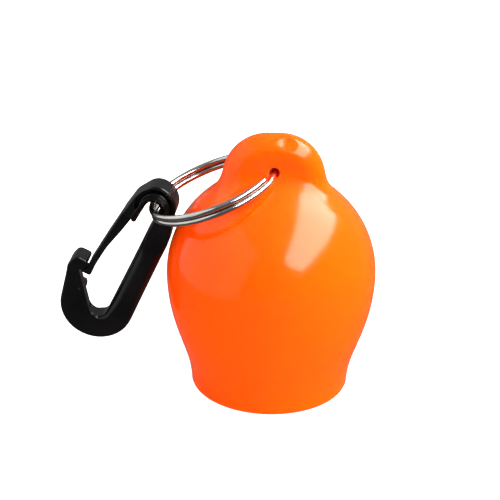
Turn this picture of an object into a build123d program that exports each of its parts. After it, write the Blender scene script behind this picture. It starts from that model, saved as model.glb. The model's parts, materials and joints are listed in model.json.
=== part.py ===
"""Cover for a diving regulator mouthpiece, with its split ring and snap clip, in millimetres.

Origin: centre of the neck's open rim, which is flat on z = 0. +Z runs up the neck into the ball,
X runs along the broad side of the boss, and Y runs through the boss's cross hole.
The split ring hangs to -X through the hole, and the clip hangs from the ring's far side.
"""
from build123d import *
import os
from math import atan, cos, degrees, radians, sin, sqrt

# Cover: a hollow soft ball on a short neck, with a boss on top.
NECK_RADIUS = 20.0
WALL = 2.5
BALL_RADIUS = 26.4
EQUATOR_Z = 30.5
LOWER_ARC_RADIUS = 42.0
NECK_FILLET = 2.0
RIM_ROUND = 0.7

# Boss: a rounded fin across the top of the ball.
BOSS_THICKNESS = 9.8
BOSS_TOP_Z = 67.3
BOSS_TOP_HALF_WIDTH = 11.1
BOSS_FOOT_HALF_WIDTH = 13.6
BOSS_FOOT_Z = 48.0
BOSS_CORNER_RADIUS = 6.4
HOLE_X = 0.3
HOLE_Z = 58.7
HOLE_DIAMETER = 2.8
HOLE_MOUTH_ROUND = 0.6

# Split ring: two turns of round wire that lie on each other, sloping down to -X.
RING_OUTER_DIAMETER = 34.0
WIRE_DIAMETER = 1.5
LAYER_PITCH = 1.56
RING_SLOPE = 21.5
RING_EASE = 0.38
END_ANGLE = 29.0
RING_STEP = 14.4

# Clip: a flat hook with a springy gate, drawn in a plane square to the ring's wire, whose
# origin is the wire, x the gate side and y up the spine.
CLIP_THICKNESS = 6.2
CLIP_LEAN = 25.0
CLIP_RING_ANGLE = 173.0
EDGE_ROUND = 0.6
BIGHT_SIDE = -5.5
BIGHT_TOP = 6.75
BIGHT_CORNERS = ((2.4, BIGHT_TOP), (5.5, 1.6))
BIGHT_RADII = (5.6, 4.0, 5.0)
SPINE_SHOULDER = (-7.25, -6.0)
SPINE_SHOULDER_RADIUS = 12.0
SPINE_OUTER_FOOT = -7.7
SPINE_INNER_TOP = -1.2
SPINE_INNER_FOOT = -1.0
SPINE_CORNER_RADIUS = 9.6
HOOK_FOOT = -41.2
HOOK_FOOT_END = 9.9
HOOK_CORNER_RADIUS = 9.3
HOOK_OUTER = (13.3, -24.0)
NOSE_TOP = -21.0
NOSE_TOP_OUTER = 12.5
NOSE_INNER = 8.8
NOSE_FOOT = -23.6
NOSE_BACK = (10.7, -24.0)
NOSE_RADII = (3.0, 1.5, 0.8)
MOUTH_FOOT = -34.7
MOUTH_FOOT_END = 3.0
MOUTH_RADII = (0.6, 2.6, 2.3, 4.0)
EYE_RADIUS = 1.95
EYE_FOOT = -6.0
SHOULDER = -4.6
SHOULDER_INNER = 2.7
SHOULDER_OUTER = 6.6

# Gate: a thin leaf that springs from the bight and tucks its toe under the nose.
GATE_THICKNESS = 4.4
GATE_GAP = 0.2
GATE_PIVOT = (5.3, -5.0)
GATE_ROOT_RADIUS = 1.3
GATE_BOW = (7.5, -12.0)
GATE_TIP_OUTER = (8.45, -21.1)
GATE_WAIST = (5.3, -9.4)
GATE_BELLY = (6.65, -15.5)
GATE_LEAF = 1.3
GATE_TOE_OUTER = 9.4
GATE_TOE_TOP = -24.0
GATE_TOE_FOOT = -24.9

RING_RADIUS = (RING_OUTER_DIAMETER - WIRE_DIAMETER) / 2
SLOPE = radians(RING_SLOPE)


def ball_profile(inset):
    """Half outline of the ball and neck in the XZ plane, moved inwards by inset."""
    neck = NECK_RADIUS - inset
    lower = LOWER_ARC_RADIUS - inset
    upper = BALL_RADIUS - inset
    lower_centre = BALL_RADIUS - LOWER_ARC_RADIUS
    corner_z = EQUATOR_Z - sqrt(lower**2 - (neck - lower_centre) ** 2)
    half_angle = degrees(atan((EQUATOR_Z - corner_z) / (neck - lower_centre)))
    foot_z = 0.0 if inset == 0 else -1.0
    with BuildSketch(Plane.XZ) as sketch:
        with BuildLine():
            Line((0, foot_z), (neck, foot_z))
            Line((neck, foot_z), (neck, corner_z))
            CenterArc((lower_centre, EQUATOR_Z), lower, -half_angle, half_angle)
            CenterArc((0, EQUATOR_Z), upper, 0, 90)
            Line((0, EQUATOR_Z + upper), (0, foot_z))
        make_face()
        fillet(sketch.vertices().sort_by_distance((neck, corner_z))[0], NECK_FILLET + inset)
        if inset == 0:
            fillet(sketch.vertices().sort_by_distance((neck, foot_z))[0], RIM_ROUND)
    return sketch.sketch


def boss():
    """Fin with a fully round edge: a bent round bar with a slab filling the space inside it."""
    edge = BOSS_THICKNESS / 2
    top = BOSS_TOP_Z - edge
    foot = BOSS_FOOT_HALF_WIDTH - edge
    shoulder = BOSS_TOP_HALF_WIDTH - edge
    corners = [(-foot, 0, BOSS_FOOT_Z), (-shoulder, 0, top), (shoulder, 0, top), (foot, 0, BOSS_FOOT_Z)]
    path = FilletPolyline(*corners, radius=BOSS_CORNER_RADIUS)
    bar = sweep(Plane(path @ 0, z_dir=path % 0) * Circle(edge), path=path)
    outline = path + Line(corners[-1], corners[0])
    slab = extrude(make_face(outline.edges()), amount=edge, dir=(0, 1, 0), both=True)
    return bar + slab


def cover():
    """One soft moulding: ball, neck and boss, hollow up to an even wall."""
    body = revolve(ball_profile(0.0), Axis.Z) + boss()
    body -= revolve(ball_profile(WALL), Axis.Z)
    across = Plane((HOLE_X, 0, HOLE_Z), z_dir=(0, 1, 0))
    body -= across * Cylinder(HOLE_DIAMETER / 2, 3 * BOSS_THICKNESS)
    mouths = [
        edge
        for edge in body.edges().filter_by(GeomType.CIRCLE)
        if abs(edge.radius - HOLE_DIAMETER / 2) < 0.01 and abs(edge.center().Y) > BOSS_THICKNESS / 4
    ]
    return fillet(mouths, HOLE_MOUTH_ROUND)


def ring_plane():
    """Plane of the split ring: x points from its centre to the hole, y points to +Y."""
    reach = RING_RADIUS - RING_EASE
    centre = (HOLE_X - reach * cos(SLOPE), 0, HOLE_Z - reach * sin(SLOPE))
    return Plane(centre, x_dir=(cos(SLOPE), 0, sin(SLOPE)), z_dir=(-sin(SLOPE), 0, cos(SLOPE)))


def layer_height(angle):
    """Height of the wire over the ring's plane: one layer up, through the hole, one layer down."""
    part = max(-1.0, min(1.0, (angle - 360) / END_ANGLE))
    return -LAYER_PITCH / 2 * (0.4 * part + 0.6 * part**3)


def split_ring():
    """One wire of nearly two turns, swept along short tangent arcs."""
    plane = ring_plane()
    spread = RING_RADIUS / cos(radians(RING_STEP / 2))
    sweep_angle = 720 - 2 * END_ANGLE
    count = round(sweep_angle / RING_STEP)
    step = sweep_angle / count
    points = []
    for index in range(count + 1):
        angle = END_ANGLE + index * step
        turn = radians(-angle)
        reach = RING_RADIUS if index in (0, count) else spread
        points.append(plane.from_local_coords((reach * cos(turn), reach * sin(turn), layer_height(angle))))
    path = FilletPolyline(*points, radius=0.95 * RING_RADIUS)
    return sweep(Plane(path @ 0, z_dir=path % 0) * Circle(WIRE_DIAMETER / 2), path=path)


def clip_plane():
    """Plane of the clip at the ring's wire: x points to the gate side, y points up the spine."""
    ring = ring_plane()
    turn = radians(CLIP_RING_ANGLE)
    crossing = ring.from_local_coords((RING_RADIUS * cos(turn), RING_RADIUS * sin(turn), 0))
    along = ring.from_local_coords((RING_RADIUS * cos(turn) + sin(turn), RING_RADIUS * sin(turn) - cos(turn), 0))
    normal = (along - crossing).normalized()
    up = (Vector(0, 0, 1) - normal * normal.Z).normalized()
    side = up.cross(normal).normalized()
    lean = radians(CLIP_LEAN)
    return Plane(crossing, x_dir=side * cos(lean) + up * sin(lean), z_dir=normal)


def clip_outline():
    """Outline of the whole clip body: bight, spine and hook up to the nose, then the opening."""
    with BuildSketch() as sketch:
        with BuildLine():
            bight = FilletPolyline(
                (BIGHT_SIDE, 0),
                (BIGHT_SIDE, BIGHT_TOP),
                *BIGHT_CORNERS,
                (SHOULDER_OUTER, SHOULDER),
                radius=BIGHT_RADII,
            )
            hook = FilletPolyline(
                bight @ 0,
                SPINE_SHOULDER,
                (SPINE_OUTER_FOOT, HOOK_FOOT),
                (HOOK_FOOT_END, HOOK_FOOT),
                HOOK_OUTER,
                (NOSE_TOP_OUTER, NOSE_TOP),
                (NOSE_INNER, NOSE_TOP),
                (NOSE_INNER, NOSE_FOOT),
                radius=(SPINE_SHOULDER_RADIUS, SPINE_CORNER_RADIUS, HOOK_CORNER_RADIUS, *NOSE_RADII),
            )
            mouth = FilletPolyline(
                hook @ 1,
                NOSE_BACK,
                (MOUTH_FOOT_END, MOUTH_FOOT),
                (SPINE_INNER_FOOT, MOUTH_FOOT),
                (SPINE_INNER_TOP, EYE_FOOT),
                (-EYE_RADIUS, 0),
                radius=MOUTH_RADII,
            )
            eye = ThreePointArc(mouth @ 1, (0, EYE_RADIUS), (EYE_RADIUS, 0))
            Polyline(eye @ 1, (SHOULDER_INNER, SHOULDER), bight @ 1)
        make_face()
    return sketch.sketch


def gate_outline():
    """Outline of the leaf: a round root on the pivot, a thin leaf and a toe that turns outwards."""
    px, py = GATE_PIVOT
    tip_x, tip_y = GATE_TIP_OUTER
    with BuildSketch() as sketch:
        with BuildLine():
            Polyline(
                (px + GATE_ROOT_RADIUS, py),
                GATE_BOW,
                (tip_x, tip_y),
                (tip_x, GATE_TOE_TOP),
                (GATE_TOE_OUTER, GATE_TOE_TOP),
                (GATE_TOE_OUTER, GATE_TOE_FOOT),
                (tip_x - GATE_LEAF, GATE_TOE_FOOT),
                (tip_x - GATE_LEAF, tip_y),
                GATE_BELLY,
                GATE_WAIST,
                (px - GATE_ROOT_RADIUS, py),
                close=True,
            )
        make_face()
        with Locations(GATE_PIVOT):
            Circle(GATE_ROOT_RADIUS)
    return sketch.sketch


def plate(sketch, thickness):
    """Flat plate of the given thickness, centred on the clip's plane."""
    return extrude(sketch, amount=thickness / 2, both=True)


def rounded(solid, thickness, radius):
    """Round the long edges of a plate's two faces."""
    faces = solid.faces().filter_by(Axis.Z).filter_by(lambda face: abs(abs(face.center().Z) - thickness / 2) < 0.01)
    return fillet(faces.edges(), radius)


def clip_body():
    """Hook, spine and bight, with a round seat cut for the gate's root."""
    body = rounded(plate(clip_outline(), CLIP_THICKNESS), CLIP_THICKNESS, EDGE_ROUND)
    seat = Pos(*GATE_PIVOT) * Cylinder(GATE_ROOT_RADIUS + GATE_GAP, 2 * CLIP_THICKNESS)
    return clip_plane() * (body - seat)


def clip_gate():
    """Springy leaf, a little narrower than the clip body."""
    return clip_plane() * plate(gate_outline(), GATE_THICKNESS)


PARTS = {
    "cover": cover,
    "split_ring": split_ring,
    "clip_body": clip_body,
    "clip_gate": clip_gate,
}

os.makedirs("parts", exist_ok=True)
for name, build in PARTS.items():
    shape = build()
    export_step(shape, f"parts/{name}.step")
    box = shape.bounding_box()
    print(name, shape.is_valid, round(shape.volume, 1), box.min, box.max)
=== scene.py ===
"""Looks for the mouthpiece cover, its split ring and its snap clip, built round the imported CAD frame.

The moulded pieces are written as distance functions in millimetres, negative inside, and each is
meshed once from its zero surface. Objects and lights are placed in metres.
"""
import json
import math

import bpy
import numpy as np
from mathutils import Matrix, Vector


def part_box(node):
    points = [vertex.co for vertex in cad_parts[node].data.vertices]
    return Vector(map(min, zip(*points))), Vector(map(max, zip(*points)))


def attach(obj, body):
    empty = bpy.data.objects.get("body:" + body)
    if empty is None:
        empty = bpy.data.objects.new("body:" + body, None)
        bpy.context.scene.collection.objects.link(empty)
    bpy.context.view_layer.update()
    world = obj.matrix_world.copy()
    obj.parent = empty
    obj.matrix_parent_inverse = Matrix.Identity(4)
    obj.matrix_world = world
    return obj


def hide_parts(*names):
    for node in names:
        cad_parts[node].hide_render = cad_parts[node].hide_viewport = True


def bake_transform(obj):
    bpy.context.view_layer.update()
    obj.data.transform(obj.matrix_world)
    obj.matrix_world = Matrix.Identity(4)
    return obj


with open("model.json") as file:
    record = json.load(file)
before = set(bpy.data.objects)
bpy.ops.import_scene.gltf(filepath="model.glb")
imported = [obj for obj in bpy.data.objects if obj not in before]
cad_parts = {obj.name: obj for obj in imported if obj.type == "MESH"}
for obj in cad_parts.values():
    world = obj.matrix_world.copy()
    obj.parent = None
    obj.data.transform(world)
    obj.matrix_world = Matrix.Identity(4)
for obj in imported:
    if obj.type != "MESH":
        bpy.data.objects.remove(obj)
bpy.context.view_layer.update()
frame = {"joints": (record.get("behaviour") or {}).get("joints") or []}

import openvdb
from mathutils import Matrix, Vector

MM = 0.001
JOINTS = {joint["name"]: joint for joint in frame["joints"]}

# Camera, in metres, degrees and millimetres of lens.
CAMERA_PLACE = (-0.0054, -0.3447, 0.1898)
CAMERA_LOOK_DOWN = 24.02
CAMERA_ROLL = 0.73
CAMERA_LENS = 108.0

# Floor, in metres.
FLOOR_HALF = 15.0
FLOOR_Z = -0.0001

# Cover, in millimetres.
NECK_RADIUS = 20.0
WALL = 2.5
BALL_RADIUS = 26.38
EQUATOR_Z = 30.5
LOWER_ARC_RADIUS = 42.0
NECK_BLEND = 7.5
RIM_ROUND = 0.9
INNER_ROUND = 0.2
BOSS_HALF_THICKNESS = 4.9
BOSS_CORNER_RADIUS = 6.4
BOSS_CORE = ((-3.4, 40.0), (3.4, 40.0), (1.6, 56.0), (-1.15, 56.0))
BOSS_BLEND = 6.0
HOLE = np.array(JOINTS["ring_swing"]["pos_m"]) / MM
HOLE_RADIUS = 1.18
HOLE_MOUTH = 1.0
DISH_DEPTH = 0.45
DISH_RADIUS = 4.0
DIMPLE = (3.2, -3.15, 66.0)
DIMPLE_RADIUS = 6.0
DIMPLE_DEPTH = 0.65
DIMPLE_OUTWARD = np.array([0.13, -0.64, 0.76])
DIMPLE_EDGE = 0.9
COVER_GRID = 0.45
COVER_MARGIN = 1.2

# Split ring, in millimetres and degrees.
WIRE_RADIUS = 0.75
RING_RADIUS = 16.25
RING_SLOPE = 21.5
RING_EASE = 0.38
LAYER_PITCH = 1.54
CROSSING_ANGLE = 29.0
CROSSING_EVENNESS = 0.4
END_ANGLE = 33.0
END_BEVEL = 0.2
END_SHARE = 0.72
RING_STEP = 2.0
WIRE_SIDES = 28

# Clip, in a plane square to the ring's wire: u to the gate side, v up the spine, and w through
# its thickness. Corners are (u, v, radius).
CLIP_LEAN = 25.0
CLIP_HALF_THICKNESS = 3.1
CLIP_OUTLINE = (
    (-5.5, 6.75, 5.6),
    (-5.5, 0.0, 0.0),
    (-7.25, -6.0, 12.0),
    (-7.7, -41.2, 9.6),
    (9.9, -41.2, 9.3),
    (13.3, -24.0, 3.0),
    (12.5, -21.0, 1.5),
    (8.8, -21.0, 0.8),
    (8.8, -23.6, 0.4),
    (10.7, -24.0, 0.6),
    (3.0, -34.7, 2.6),
    (-1.0, -34.7, 2.3),
    (-1.2, -6.0, 4.0),
    (-1.75, 1.95, 1.7),
    (1.95, 1.95, 1.9),
    (2.6, -5.1, 0.4),
    (3.7, -5.1, 0.4),
    (3.9, -4.6, 0.2),
    (6.6, -4.6, 0.5),
    (5.5, 1.6, 5.0),
    (2.4, 6.75, 4.0),
)
MOUTH = ((9.5, -22.0), (10.7, -24.0), (3.0, -34.7), (-1.0, -34.7), (-1.0, -30.0))
EYE_CORE = ((-0.2, 0.3), (0.2, 0.3), (1.0, -4.6), (-0.2, -6.0))
HOOK_EDGE = 1.0
SPINE_EDGE = 2.7
CRISP_EDGE = 0.45
CLIP_GRID = 0.22
CLIP_LOW = (-9, -42.4, -4)
CLIP_HIGH = (14.8, 7.9, 4)
LIP_LEAN = 0.2
LIP_MIDDLE = -0.8
SPINE_FACE = (1.0, -34.7)
SPINE_FACE_SLOPE = 0.35
GROOVE_CENTRE = (-0.1, 1.0)
GROOVE_RADIUS = 4.4
GROOVE_HALF_WIDTH = 0.5
GROOVE_DEPTH = 1.5
GROOVE_LOW = -1.4
GROOVE_TILT = 0.4
SINK_REACH = 3.1
SINK_SLOPE = 0.75
SINK_EDGE = 0.22
BEAD_REACH = 2.9
BEAD_RADIUS = 0.42
BEAD_SUNK = 0.3
BEAD_LOW = -2.0
BEAD_EDGE = 0.3
RELIEF_TILT = 0.8
CHANNEL_HALF_WIDTH = 1.9
CHANNEL_DEPTH = 0.5
CHANNEL_TOP = -26.5
CARVED_EDGE = 0.45
WALL_BUMP = (7.5, -29.3)
WALL_BUMP_RADIUS = 1.0
WALL_BUMP_STRETCH = 0.3
WALL_BUMP_EDGE = 0.75

# Where each kind of edge or relief comes in, from nothing to full, in the clip's plane.
HOOK_FADE = (-22.0, -26.0)
MOUTH_FADE = (3.0, 0.8)
SPINE_FACE_FADE = (-1.0, 1.0)
SPINE_SIDE_FADE = (1.0, -1.5)
SPINE_FOOT_FADE = (-36.0, -26.0)
SPINE_TOP_FADE = (-5.0, -14.0)
BIGHT_FADE = (-12.0, -3.0)
NOSE_FADE = (-28.0, -24.0)
NOSE_SIDE_FADE = (6.0, 8.0)
SINK_FADE = (-6.0, -1.0)

# Clip's gate, in the clip's plane.
GATE_HALF_THICKNESS = 2.2
GATE_EDGE = 0.35
GATE_GRID = 0.18
GATE_LOW = (2.8, -26.0, -3.2)
GATE_HIGH = (10.6, -1.8, 3.2)
GATE_BEND = ((5.3, -4.0), (6.4, -11.0))
GATE_OUTLINE = (
    (4.4, -2.8, 0.8),
    (6.4, -2.8, 0.8),
    (6.6, -5.0, 2.0),
    (7.5, -12.0, 20.0),
    (8.45, -21.1, 10.0),
    (8.45, -24.0, 0.3),
    (9.4, -24.0, 0.3),
    (9.4, -24.9, 0.4),
    (6.8, -24.9, 0.6),
    (6.8, -21.1, 10.0),
    (6.2, -15.5, 20.0),
    (4.7, -9.4, 8.0),
    (3.8, -5.0, 2.0),
)


def camera():
    """Camera at the viewing angle: straight along +Y, looking down, with a touch of roll."""
    data = bpy.data.cameras.new("camera")
    data.sensor_width = 36.0
    data.lens = CAMERA_LENS
    data.clip_start = 0.01
    data.clip_end = 50.0
    obj = bpy.data.objects.new("camera", data)
    bpy.context.scene.collection.objects.link(obj)
    tilt = Matrix.Rotation(math.radians(90 - CAMERA_LOOK_DOWN), 4, "X")
    roll = Matrix.Rotation(math.radians(CAMERA_ROLL), 4, "Z")
    obj.matrix_world = Matrix.Translation(CAMERA_PLACE) @ tilt @ roll
    bpy.context.scene.camera = obj


# Distance functions.

def smooth_union(a, b, reach):
    """What is in a or b, with a fillet between them that starts and ends without a crease."""
    overlap = np.maximum(1.0 - np.abs(a - b) / reach, 0.0)
    return np.minimum(a, b) - reach / 6.0 * overlap**3


def smooth_cut(a, b, reach):
    """What is in a and outside b, with the edge between them softened."""
    return -smooth_union(-a, b, reach)


def round_and(a, b, radius):
    """What is in both a and b, with their common edge rounded to a radius."""
    outside = np.hypot(np.maximum(a + radius, 0.0), np.maximum(b + radius, 0.0))
    return np.minimum(np.maximum(a, b), -radius) + outside


def ramp(value, low, high):
    """Smooth rise from 0 where the value is at low to 1 where it is at high."""
    share = np.clip((value - low) / (high - low), 0.0, 1.0)
    return share * share * (3.0 - 2.0 * share)


def outline_distance(x, y, outline):
    """Signed distance to a closed outline."""
    x, y = np.broadcast_arrays(x, y)
    nearest = np.full(x.shape, np.inf)
    inside = np.zeros(x.shape, bool)
    for (ax, ay), (bx, by) in zip(outline, np.roll(outline, -1, axis=0)):
        ex, ey = bx - ax, by - ay
        along = np.clip(((x - ax) * ex + (y - ay) * ey) / (ex * ex + ey * ey), 0.0, 1.0)
        nearest = np.minimum(nearest, (x - ax - along * ex) ** 2 + (y - ay - along * ey) ** 2)
        if ay != by:
            inside ^= ((ay > y) != (by > y)) & (x < ax + (y - ay) / (by - ay) * ex)
    return np.where(inside, -1.0, 1.0) * np.sqrt(nearest)


def rounded_outline(corners):
    """Points of a closed outline whose corners, (x, y, radius), are rounded by arcs."""
    points = []
    for index, (x, y, radius) in enumerate(corners):
        corner = Vector((x, y))
        before = (Vector(corners[index - 1][:2]) - corner).normalized()
        after = (Vector(corners[(index + 1) % len(corners)][:2]) - corner).normalized()
        half_angle = before.angle(after) / 2
        if radius == 0.0 or half_angle > math.radians(89.9):
            points.append((x, y))
            continue
        centre = corner + (before + after).normalized() * (radius / math.sin(half_angle))
        reach = radius / math.tan(half_angle)
        first = corner + before * reach - centre
        last = corner + after * reach - centre
        turn = math.atan2(first.x * last.y - first.y * last.x, first.dot(last))
        count = max(2, math.ceil(abs(turn) / math.radians(9)))
        for step in range(count + 1):
            angle = math.atan2(first.y, first.x) + turn * step / count
            points.append((centre.x + radius * math.cos(angle), centre.y + radius * math.sin(angle)))
    return np.array(points)


def slopes(distance, points, reach=0.01):
    """Value and gradient of a distance function at points."""
    x, y, z = points.T
    gradient = np.stack(
        [
            distance(x + reach, y, z) - distance(x - reach, y, z),
            distance(x, y + reach, z) - distance(x, y - reach, z),
            distance(x, y, z + reach) - distance(x, y, z - reach),
        ],
        axis=1,
    )
    return distance(x, y, z), gradient / (2 * reach)


def moulding(name, distance, low, high, step, place=Matrix.Identity(4)):
    """Object with the zero surface of a distance function, its points stepped onto that surface."""
    axes = [np.arange(a, b + step, step) for a, b in zip(low, high)]
    sides = np.meshgrid(*axes, indexing="ij", sparse=True)
    values = distance(*sides) + np.zeros([len(axis) for axis in axes])
    grid = openvdb.FloatGrid(4 * step)
    grid.copyFromArray(np.clip(values, -4 * step, 4 * step).astype(np.float32))
    points, quads = grid.convertToQuads()
    points = points.astype(float) * step + np.array(low)
    for _ in range(3):
        value, gradient = slopes(distance, points)
        steepness = np.maximum(np.sum(gradient**2, axis=1), 0.2)
        points -= (value / steepness)[:, None] * gradient
    normals = slopes(distance, points)[1]
    normals /= np.linalg.norm(normals, axis=1)[:, None]
    turn = np.array(place.to_3x3())
    mesh = bpy.data.meshes.new(name)
    mesh.from_pydata((points @ turn.T + np.array(place.translation)) * MM, [], quads.tolist())
    mesh.polygons.foreach_set("use_smooth", np.ones(len(quads), bool))
    mesh.normals_split_custom_set_from_vertices(normals @ turn.T)
    obj = bpy.data.objects.new(name, mesh)
    bpy.context.scene.collection.objects.link(obj)
    return obj


# Cover.

def shell_distance(x, y, z, inset):
    """Ball and neck, moved inwards by inset."""
    r = np.hypot(x, y)
    upper = np.hypot(r, z - EQUATOR_Z) - BALL_RADIUS
    lower = np.hypot(r - BALL_RADIUS + LOWER_ARC_RADIUS, z - EQUATOR_Z) - LOWER_ARC_RADIUS
    ball = np.where(z > EQUATOR_Z, upper, lower)
    neck = np.maximum(r - NECK_RADIUS, z - EQUATOR_Z)
    return smooth_union(ball, neck, NECK_BLEND) + inset


def boss_distance(x, y, z):
    """Fin with a full round edge, and a shallow dish in each face round the hole."""
    core = outline_distance(x, z, BOSS_CORE) - BOSS_CORNER_RADIUS
    spread = (x - HOLE[0]) ** 2 + (z - HOLE[2]) ** 2
    dish = DISH_DEPTH * np.exp(-spread / (2 * DISH_RADIUS**2))
    return np.hypot(np.maximum(core, 0.0), y) - BOSS_HALF_THICKNESS + dish


def dimple_distance(x, y, z):
    """Ball that presses the dimple into the boss's crest."""
    cx, cy, cz = DIMPLE + DIMPLE_OUTWARD * (DIMPLE_RADIUS - DIMPLE_DEPTH)
    return np.sqrt((x - cx) ** 2 + (y - cy) ** 2 + (z - cz) ** 2) - DIMPLE_RADIUS


def cover_distance(x, y, z):
    """Ball, neck and boss in one, dimpled, bored and hollowed, with a rounded rim at z = 0."""
    body = smooth_union(shell_distance(x, y, z, 0.0), boss_distance(x, y, z), BOSS_BLEND)
    body = smooth_cut(body, dimple_distance(x, y, z), DIMPLE_EDGE)
    body = smooth_cut(body, np.hypot(x - HOLE[0], z - HOLE[2]) - HOLE_RADIUS, HOLE_MOUTH)
    wall = round_and(body, -shell_distance(x, y, z, WALL), INNER_ROUND)
    return round_and(wall, -z, RIM_ROUND)


def cover():
    """The whole orange moulding."""
    reach = BALL_RADIUS + COVER_MARGIN
    low = (-reach, -reach, -COVER_MARGIN)
    high = (reach, reach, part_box("cover")[1][2] / MM + COVER_MARGIN)
    return moulding("cover_moulding", cover_distance, low, high, COVER_GRID)


# Split ring.

def wire_stations():
    """(angle, share of the full radius) along the wire, narrower at both cut ends."""
    angles = np.linspace(END_ANGLE, 720 - END_ANGLE, round((720 - 2 * END_ANGLE) / RING_STEP))
    lead = math.degrees(END_BEVEL / RING_RADIUS)
    stations = [(angles[0], END_SHARE), (angles[0] + lead, 1.0)]
    stations += [(angle, 1.0) for angle in angles[1:-1]]
    return stations + [(angles[-1] - lead, 1.0), (angles[-1], END_SHARE)]


def wire_height(angle):
    """Height of the wire square to the ring: it changes layer as it runs through the boss."""
    part = max(-1.0, min(1.0, (angle - 360) / CROSSING_ANGLE))
    return -LAYER_PITCH / 2 * (CROSSING_EVENNESS * part + (1 - CROSSING_EVENNESS) * part**3)


def wire_points(stations):
    """Circles of points round the wire, one for each station."""
    slope = math.radians(RING_SLOPE)
    outward = np.array([math.cos(slope), 0.0, math.sin(slope)])
    across = np.array([0.0, 1.0, 0.0])
    normal = np.array([-math.sin(slope), 0.0, math.cos(slope)])
    centre = HOLE - outward * (RING_RADIUS - RING_EASE)
    points = []
    for angle, share in stations:
        turn = math.radians(-angle)
        radial = outward * math.cos(turn) + across * math.sin(turn)
        middle = centre + radial * RING_RADIUS + normal * wire_height(angle)
        for side in range(WIRE_SIDES):
            spin = 2 * math.pi * side / WIRE_SIDES
            offset = radial * math.cos(spin) + normal * math.sin(spin)
            points.append(middle + offset * WIRE_RADIUS * share)
    return points


def wire_faces(rows):
    """Faces of the wire, and their corners unwrapped: along its length, then round it."""
    loops = []
    for row in range(rows - 1):
        for side in range(WIRE_SIDES):
            loops.append(((row, side), (row, side + 1), (row + 1, side + 1), (row + 1, side)))
    loops.append([(0, side) for side in reversed(range(WIRE_SIDES))])
    loops.append([(rows - 1, side) for side in range(WIRE_SIDES)])
    faces = [[row * WIRE_SIDES + side % WIRE_SIDES for row, side in loop] for loop in loops]
    wrap = [(row * RING_STEP / 360, side / WIRE_SIDES) for loop in loops for row, side in loop]
    return faces, wrap


def split_ring():
    """Stainless wire of nearly two turns, closed at both cut ends."""
    stations = wire_stations()
    faces, wrap = wire_faces(len(stations))
    mesh = bpy.data.meshes.new("split_ring_wire")
    mesh.from_pydata(np.array(wire_points(stations)) * MM, [], faces)
    mesh.uv_layers.new(name="wrap").data.foreach_set("uv", np.array(wrap).ravel())
    mesh.polygons.foreach_set("use_smooth", np.ones(len(faces), bool))
    obj = bpy.data.objects.new("split_ring_wire", mesh)
    bpy.context.scene.collection.objects.link(obj)
    return obj


# Clip.

def clip_place():
    """Clip plane to the row frame: columns u, v and w, then the wire's centre."""
    normal = Vector(JOINTS["clip_swing"]["axis"]).normalized()
    up = (Vector((0, 0, 1)) - normal * normal.z).normalized()
    side = up.cross(normal)
    lean = math.radians(CLIP_LEAN)
    u = side * math.cos(lean) + up * math.sin(lean)
    origin = Vector(JOINTS["clip_swing"]["pos_m"]) / MM
    return Matrix.Translation(origin) @ Matrix((u, normal.cross(u), normal)).transposed().to_4x4()


def clip_edge(u, v, in_hook):
    """Radius of the clip's edges: large on the spine, and crisp on the nose, bight and hook's mouth."""
    spine = ramp(u, *SPINE_SIDE_FADE) * ramp(v, *SPINE_FOOT_FADE) * ramp(v, *SPINE_TOP_FADE)
    nose = ramp(v, *NOSE_FADE) * ramp(u, *NOSE_SIDE_FADE)
    crisp = np.maximum(in_hook, np.maximum(ramp(v, *BIGHT_FADE), nose))
    edge = HOOK_EDGE + (SPINE_EDGE - HOOK_EDGE) * spine
    return edge + (CRISP_EDGE - edge) * crisp


def clip_blank(u, v, w, outline):
    """Clip before its eye is carved: the outline, with a channel along the hook's inner wall."""
    depth = np.abs(w)
    to_mouth = outline_distance(u, v, MOUTH)
    off_spine = u - SPINE_FACE[0] - SPINE_FACE_SLOPE * (v - SPINE_FACE[1])
    in_hook = ramp(v, *HOOK_FADE) * ramp(to_mouth, *MOUTH_FADE) * ramp(off_spine, *SPINE_FACE_FADE)
    flat = outline_distance(u, v, outline) + LIP_LEAN * (w - LIP_MIDDLE) * in_hook
    body = round_and(flat, depth - CLIP_HALF_THICKNESS, clip_edge(u, v, in_hook))
    channel = np.maximum(to_mouth - CHANNEL_DEPTH, depth - CHANNEL_HALF_WIDTH)
    channel = np.maximum(channel, np.maximum(v - CHANNEL_TOP, -off_spine))
    return flat, smooth_cut(body, channel, CARVED_EDGE)


def carved_eye(u, v, w, flat, body):
    """Clip with a groove, a countersink and a bead round its eye."""
    depth = np.abs(w)
    to_core = outline_distance(u, v, EYE_CORE)
    ring = np.hypot(u - GROOVE_CENTRE[0], v - GROOVE_CENTRE[1]) - GROOVE_RADIUS
    band = np.maximum(np.abs(ring) - GROOVE_HALF_WIDTH, GROOVE_LOW - v - GROOVE_TILT * u)
    body = smooth_cut(body, np.maximum(band, CLIP_HALF_THICKNESS - GROOVE_DEPTH - depth), CARVED_EDGE)
    reach = SINK_REACH * ramp(v + RELIEF_TILT * u, *SINK_FADE)
    sink = CLIP_HALF_THICKNESS - SINK_SLOPE * (reach - to_core) - depth
    body = smooth_cut(body, sink / math.hypot(1.0, SINK_SLOPE), SINK_EDGE)
    bead = np.hypot(to_core - BEAD_REACH, depth - CLIP_HALF_THICKNESS + BEAD_SUNK) - BEAD_RADIUS
    limit = np.maximum(flat + BEAD_SUNK, BEAD_LOW - v - RELIEF_TILT * u)
    return smooth_union(body, np.maximum(bead, limit), BEAD_EDGE)


def wall_bump_distance(u, v, w):
    """Small mound on the hook's inner wall, drawn out through the thickness."""
    across = (u - WALL_BUMP[0]) ** 2 + (v - WALL_BUMP[1]) ** 2
    return np.sqrt(across + (WALL_BUMP_STRETCH * w) ** 2) - WALL_BUMP_RADIUS


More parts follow.
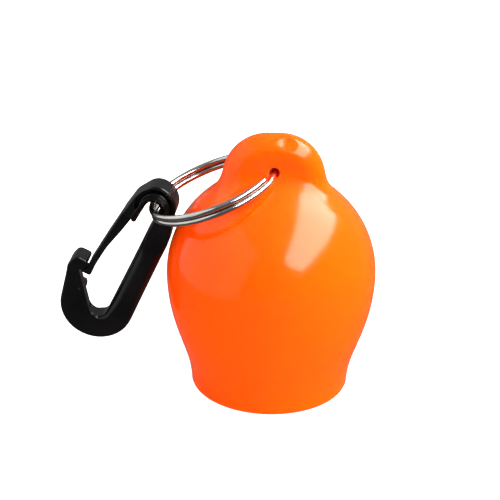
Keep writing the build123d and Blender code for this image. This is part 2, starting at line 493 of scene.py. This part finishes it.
def clip_body():
    """Hook, spine and bight: the spine nearly round, the nose and bight crisper and carved."""
    outline = rounded_outline(CLIP_OUTLINE)

    def distance(u, v, w):
        flat, body = clip_blank(u, v, w, outline)
        body = carved_eye(u, v, w, flat, body)
        return smooth_union(body, wall_bump_distance(u, v, w), WALL_BUMP_EDGE)

    return moulding("clip_hook", distance, CLIP_LOW, CLIP_HIGH, CLIP_GRID, clip_place())


def clip_gate():
    """Thin leaf with its root inside the bight's leg."""
    outline = rounded_outline(GATE_OUTLINE)

    def distance(u, v, w):
        return round_and(outline_distance(u, v, outline), np.abs(w) - GATE_HALF_THICKNESS, GATE_EDGE)

    return moulding("clip_leaf", distance, GATE_LOW, GATE_HIGH, GATE_GRID, clip_place())


# Materials.

def new_material(name):
    material = bpy.data.materials.new(name)
    material.use_nodes = True
    return material, material.node_tree, material.node_tree.nodes["Principled BSDF"]


def noise(tree, scale, detail=3.0, source="Object", stretch=(1.0, 1.0, 1.0)):
    """Noise value from an object's own coordinates."""
    coords = tree.nodes.new("ShaderNodeTexCoord")
    mapping = tree.nodes.new("ShaderNodeMapping")
    mapping.inputs["Scale"].default_value = stretch
    texture = tree.nodes.new("ShaderNodeTexNoise")
    texture.inputs["Scale"].default_value = scale
    texture.inputs["Detail"].default_value = detail
    tree.links.new(coords.outputs[source], mapping.inputs["Vector"])
    tree.links.new(mapping.outputs["Vector"], texture.inputs["Vector"])
    return texture.outputs["Fac"]


def spread(tree, value, low, high):
    """Noise value stretched over a range."""
    node = tree.nodes.new("ShaderNodeMapRange")
    node.inputs["From Min"].default_value = 0.3
    node.inputs["From Max"].default_value = 0.7
    node.inputs["To Min"].default_value = low
    node.inputs["To Max"].default_value = high
    tree.links.new(value, node.inputs["Value"])
    return node.outputs["Result"]


def tint(tree, value, dark, light):
    """Colour between two colours by a noise value."""
    node = tree.nodes.new("ShaderNodeValToRGB")
    node.color_ramp.elements[0].position = 0.3
    node.color_ramp.elements[1].position = 0.7
    node.color_ramp.elements[0].color = (*dark, 1.0)
    node.color_ramp.elements[1].color = (*light, 1.0)
    tree.links.new(value, node.inputs["Fac"])
    return node.outputs["Color"]


def bump(tree, shader, layers):
    """Bumps of (height value, strength, distance in metres), one on top of the other."""
    below = None
    for height, strength, distance in layers:
        node = tree.nodes.new("ShaderNodeBump")
        node.inputs["Strength"].default_value = strength
        node.inputs["Distance"].default_value = distance
        tree.links.new(height, node.inputs["Height"])
        if below:
            tree.links.new(below, node.inputs["Normal"])
        below = node.outputs["Normal"]
    tree.links.new(below, shader.inputs["Normal"])


def soft_pvc():
    """Glossy, slightly translucent orange PVC with faint flow marks and a fine skin."""
    material, tree, shader = new_material("soft_pvc")
    flow = noise(tree, 28.0, 3.0, stretch=(1.0, 1.0, 0.45))
    skin = noise(tree, 420.0, 4.0)
    colour = tint(tree, flow, (0.96, 0.08, 0.0003), (1.0, 0.096, 0.0005))
    tree.links.new(colour, shader.inputs["Base Color"])
    tree.links.new(spread(tree, skin, 0.13, 0.2), shader.inputs["Roughness"])
    shader.inputs["Specular IOR Level"].default_value = 0.26
    shader.inputs["Subsurface Weight"].default_value = 0.6
    shader.inputs["Subsurface Radius"].default_value = (1.0, 0.35, 0.1)
    shader.inputs["Subsurface Scale"].default_value = 0.004
    bump(tree, shader, [(flow, 0.15, 0.0006), (skin, 0.06, 0.0001)])
    return material


def stainless_wire():
    """Drawn stainless wire: fine streaks along its length, and a few duller patches."""
    material, tree, shader = new_material("stainless_wire")
    streaks = noise(tree, 9.0, 5.0, "UV", (3.0, 9.0, 1.0))
    patches = noise(tree, 160.0, 3.0)
    colour = tint(tree, patches, (0.38, 0.365, 0.35), (0.54, 0.52, 0.5))
    tree.links.new(colour, shader.inputs["Base Color"])
    tree.links.new(spread(tree, streaks, 0.07, 0.18), shader.inputs["Roughness"])
    shader.inputs["Metallic"].default_value = 1.0
    bump(tree, shader, [(streaks, 0.12, 0.00004)])
    return material


def black_acetal():
    """Satin black acetal with a fine grain and slightly greyer wear."""
    material, tree, shader = new_material("black_acetal")
    wear = noise(tree, 90.0, 4.0)
    grain = noise(tree, 1500.0, 3.0)
    colour = tint(tree, wear, (0.002, 0.002, 0.002), (0.006, 0.005, 0.005))
    tree.links.new(colour, shader.inputs["Base Color"])
    tree.links.new(spread(tree, wear, 0.2, 0.32), shader.inputs["Roughness"])
    shader.inputs["Specular IOR Level"].default_value = 0.3
    bump(tree, shader, [(wear, 0.1, 0.0002), (grain, 0.15, 0.00003)])
    return material


def studio_floor():
    """Wide sheet of pale paper that glows a little, so that shadows on it stay faint."""
    mesh = bpy.data.meshes.new("floor")
    signs = ((-1, -1), (1, -1), (1, 1), (-1, 1))
    corners = [(x * FLOOR_HALF, y * FLOOR_HALF, FLOOR_Z) for x, y in signs]
    mesh.from_pydata(corners, [], [(0, 1, 2, 3)])
    obj = bpy.data.objects.new("floor", mesh)
    bpy.context.scene.collection.objects.link(obj)
    material, tree, shader = new_material("white_paper")
    fibres = noise(tree, 300.0, 4.0)
    colour = tint(tree, fibres, (0.28, 0.28, 0.28), (0.32, 0.32, 0.32))
    tree.links.new(colour, shader.inputs["Base Color"])
    shader.inputs["Roughness"].default_value = 0.85
    shader.inputs["Specular IOR Level"].default_value = 0.1
    shader.inputs["Emission Color"].default_value = (1.0, 1.0, 1.0, 1.0)
    shader.inputs["Emission Strength"].default_value = 0.85
    bump(tree, shader, [(fibres, 0.1, 0.0001)])
    mesh.materials.append(material)
    obj.visible_glossy = False


# Light.

def softbox(name, centre, target, size, radiance):
    """Rectangular panel light; its first size runs level and its second upright."""
    data = bpy.data.lights.new(name, "AREA")
    data.shape = "RECTANGLE"
    data.size, data.size_y = size
    data.energy = radiance * math.pi * size[0] * size[1]
    obj = bpy.data.objects.new(name, data)
    aim = (Vector(target) - Vector(centre)).to_track_quat("-Z", "Y").to_matrix().to_4x4()
    obj.matrix_world = Matrix.Translation(centre) @ aim
    bpy.context.scene.collection.objects.link(obj)


def studio():
    """Pale ceiling over dim walls, with a long softbox on the right and a weaker one on the left."""
    world = bpy.data.worlds.new("studio")
    world.use_nodes = True
    tree = world.node_tree
    coords = tree.nodes.new("ShaderNodeTexCoord")
    upwards = tree.nodes.new("ShaderNodeVectorMath")
    upwards.operation = "DOT_PRODUCT"
    upwards.inputs[1].default_value = (0.0, 0.3, 0.95)
    level = tree.nodes.new("ShaderNodeMapRange")
    level.inputs["From Min"].default_value = -0.1
    level.inputs["From Max"].default_value = 1.0
    level.inputs["To Min"].default_value = 0.16
    level.inputs["To Max"].default_value = 0.5
    tree.links.new(coords.outputs["Generated"], upwards.inputs[0])
    tree.links.new(upwards.outputs["Value"], level.inputs["Value"])
    tree.nodes["Background"].inputs["Color"].default_value = (1.0, 1.0, 1.0, 1.0)
    tree.links.new(level.outputs["Result"], tree.nodes["Background"].inputs["Strength"])
    world.cycles.sampling_method = "NONE"
    bpy.context.scene.world = world
    bpy.context.scene.view_settings.view_transform = "Standard"
    bpy.context.scene.view_settings.look = "Medium High Contrast"
    softbox("key_softbox", (0.67, -0.42, 0.83), (0.0, -0.42, 0.03), (2.1, 0.64), 11.3)
    softbox("fill_softbox", (-1.0, -0.2, 0.45), (0.0, 0.0, 0.04), (2.4, 1.6), 0.95)


def dress(obj, material, node):
    """Give a piece its finish and hide the CAD node that it stands in for."""
    obj.data.materials.append(material)
    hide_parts(node)


camera()
studio()
studio_floor()

cover_piece = cover()
dress(cover_piece, soft_pvc(), "cover")
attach(cover_piece, "cover")

ring_piece = split_ring()
dress(ring_piece, stainless_wire(), "split_ring")
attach(ring_piece, "ring")

acetal = black_acetal()
hook_piece = clip_body()
dress(hook_piece, acetal, "clip_body")
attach(hook_piece, "clip")

leaf_piece = clip_gate()
dress(leaf_piece, acetal, "clip_gate")
root, hinge = (clip_place() @ Vector((u, v, 0)) * MM for u, v in GATE_BEND)
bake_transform(leaf_piece)
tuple(root)
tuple(hinge)
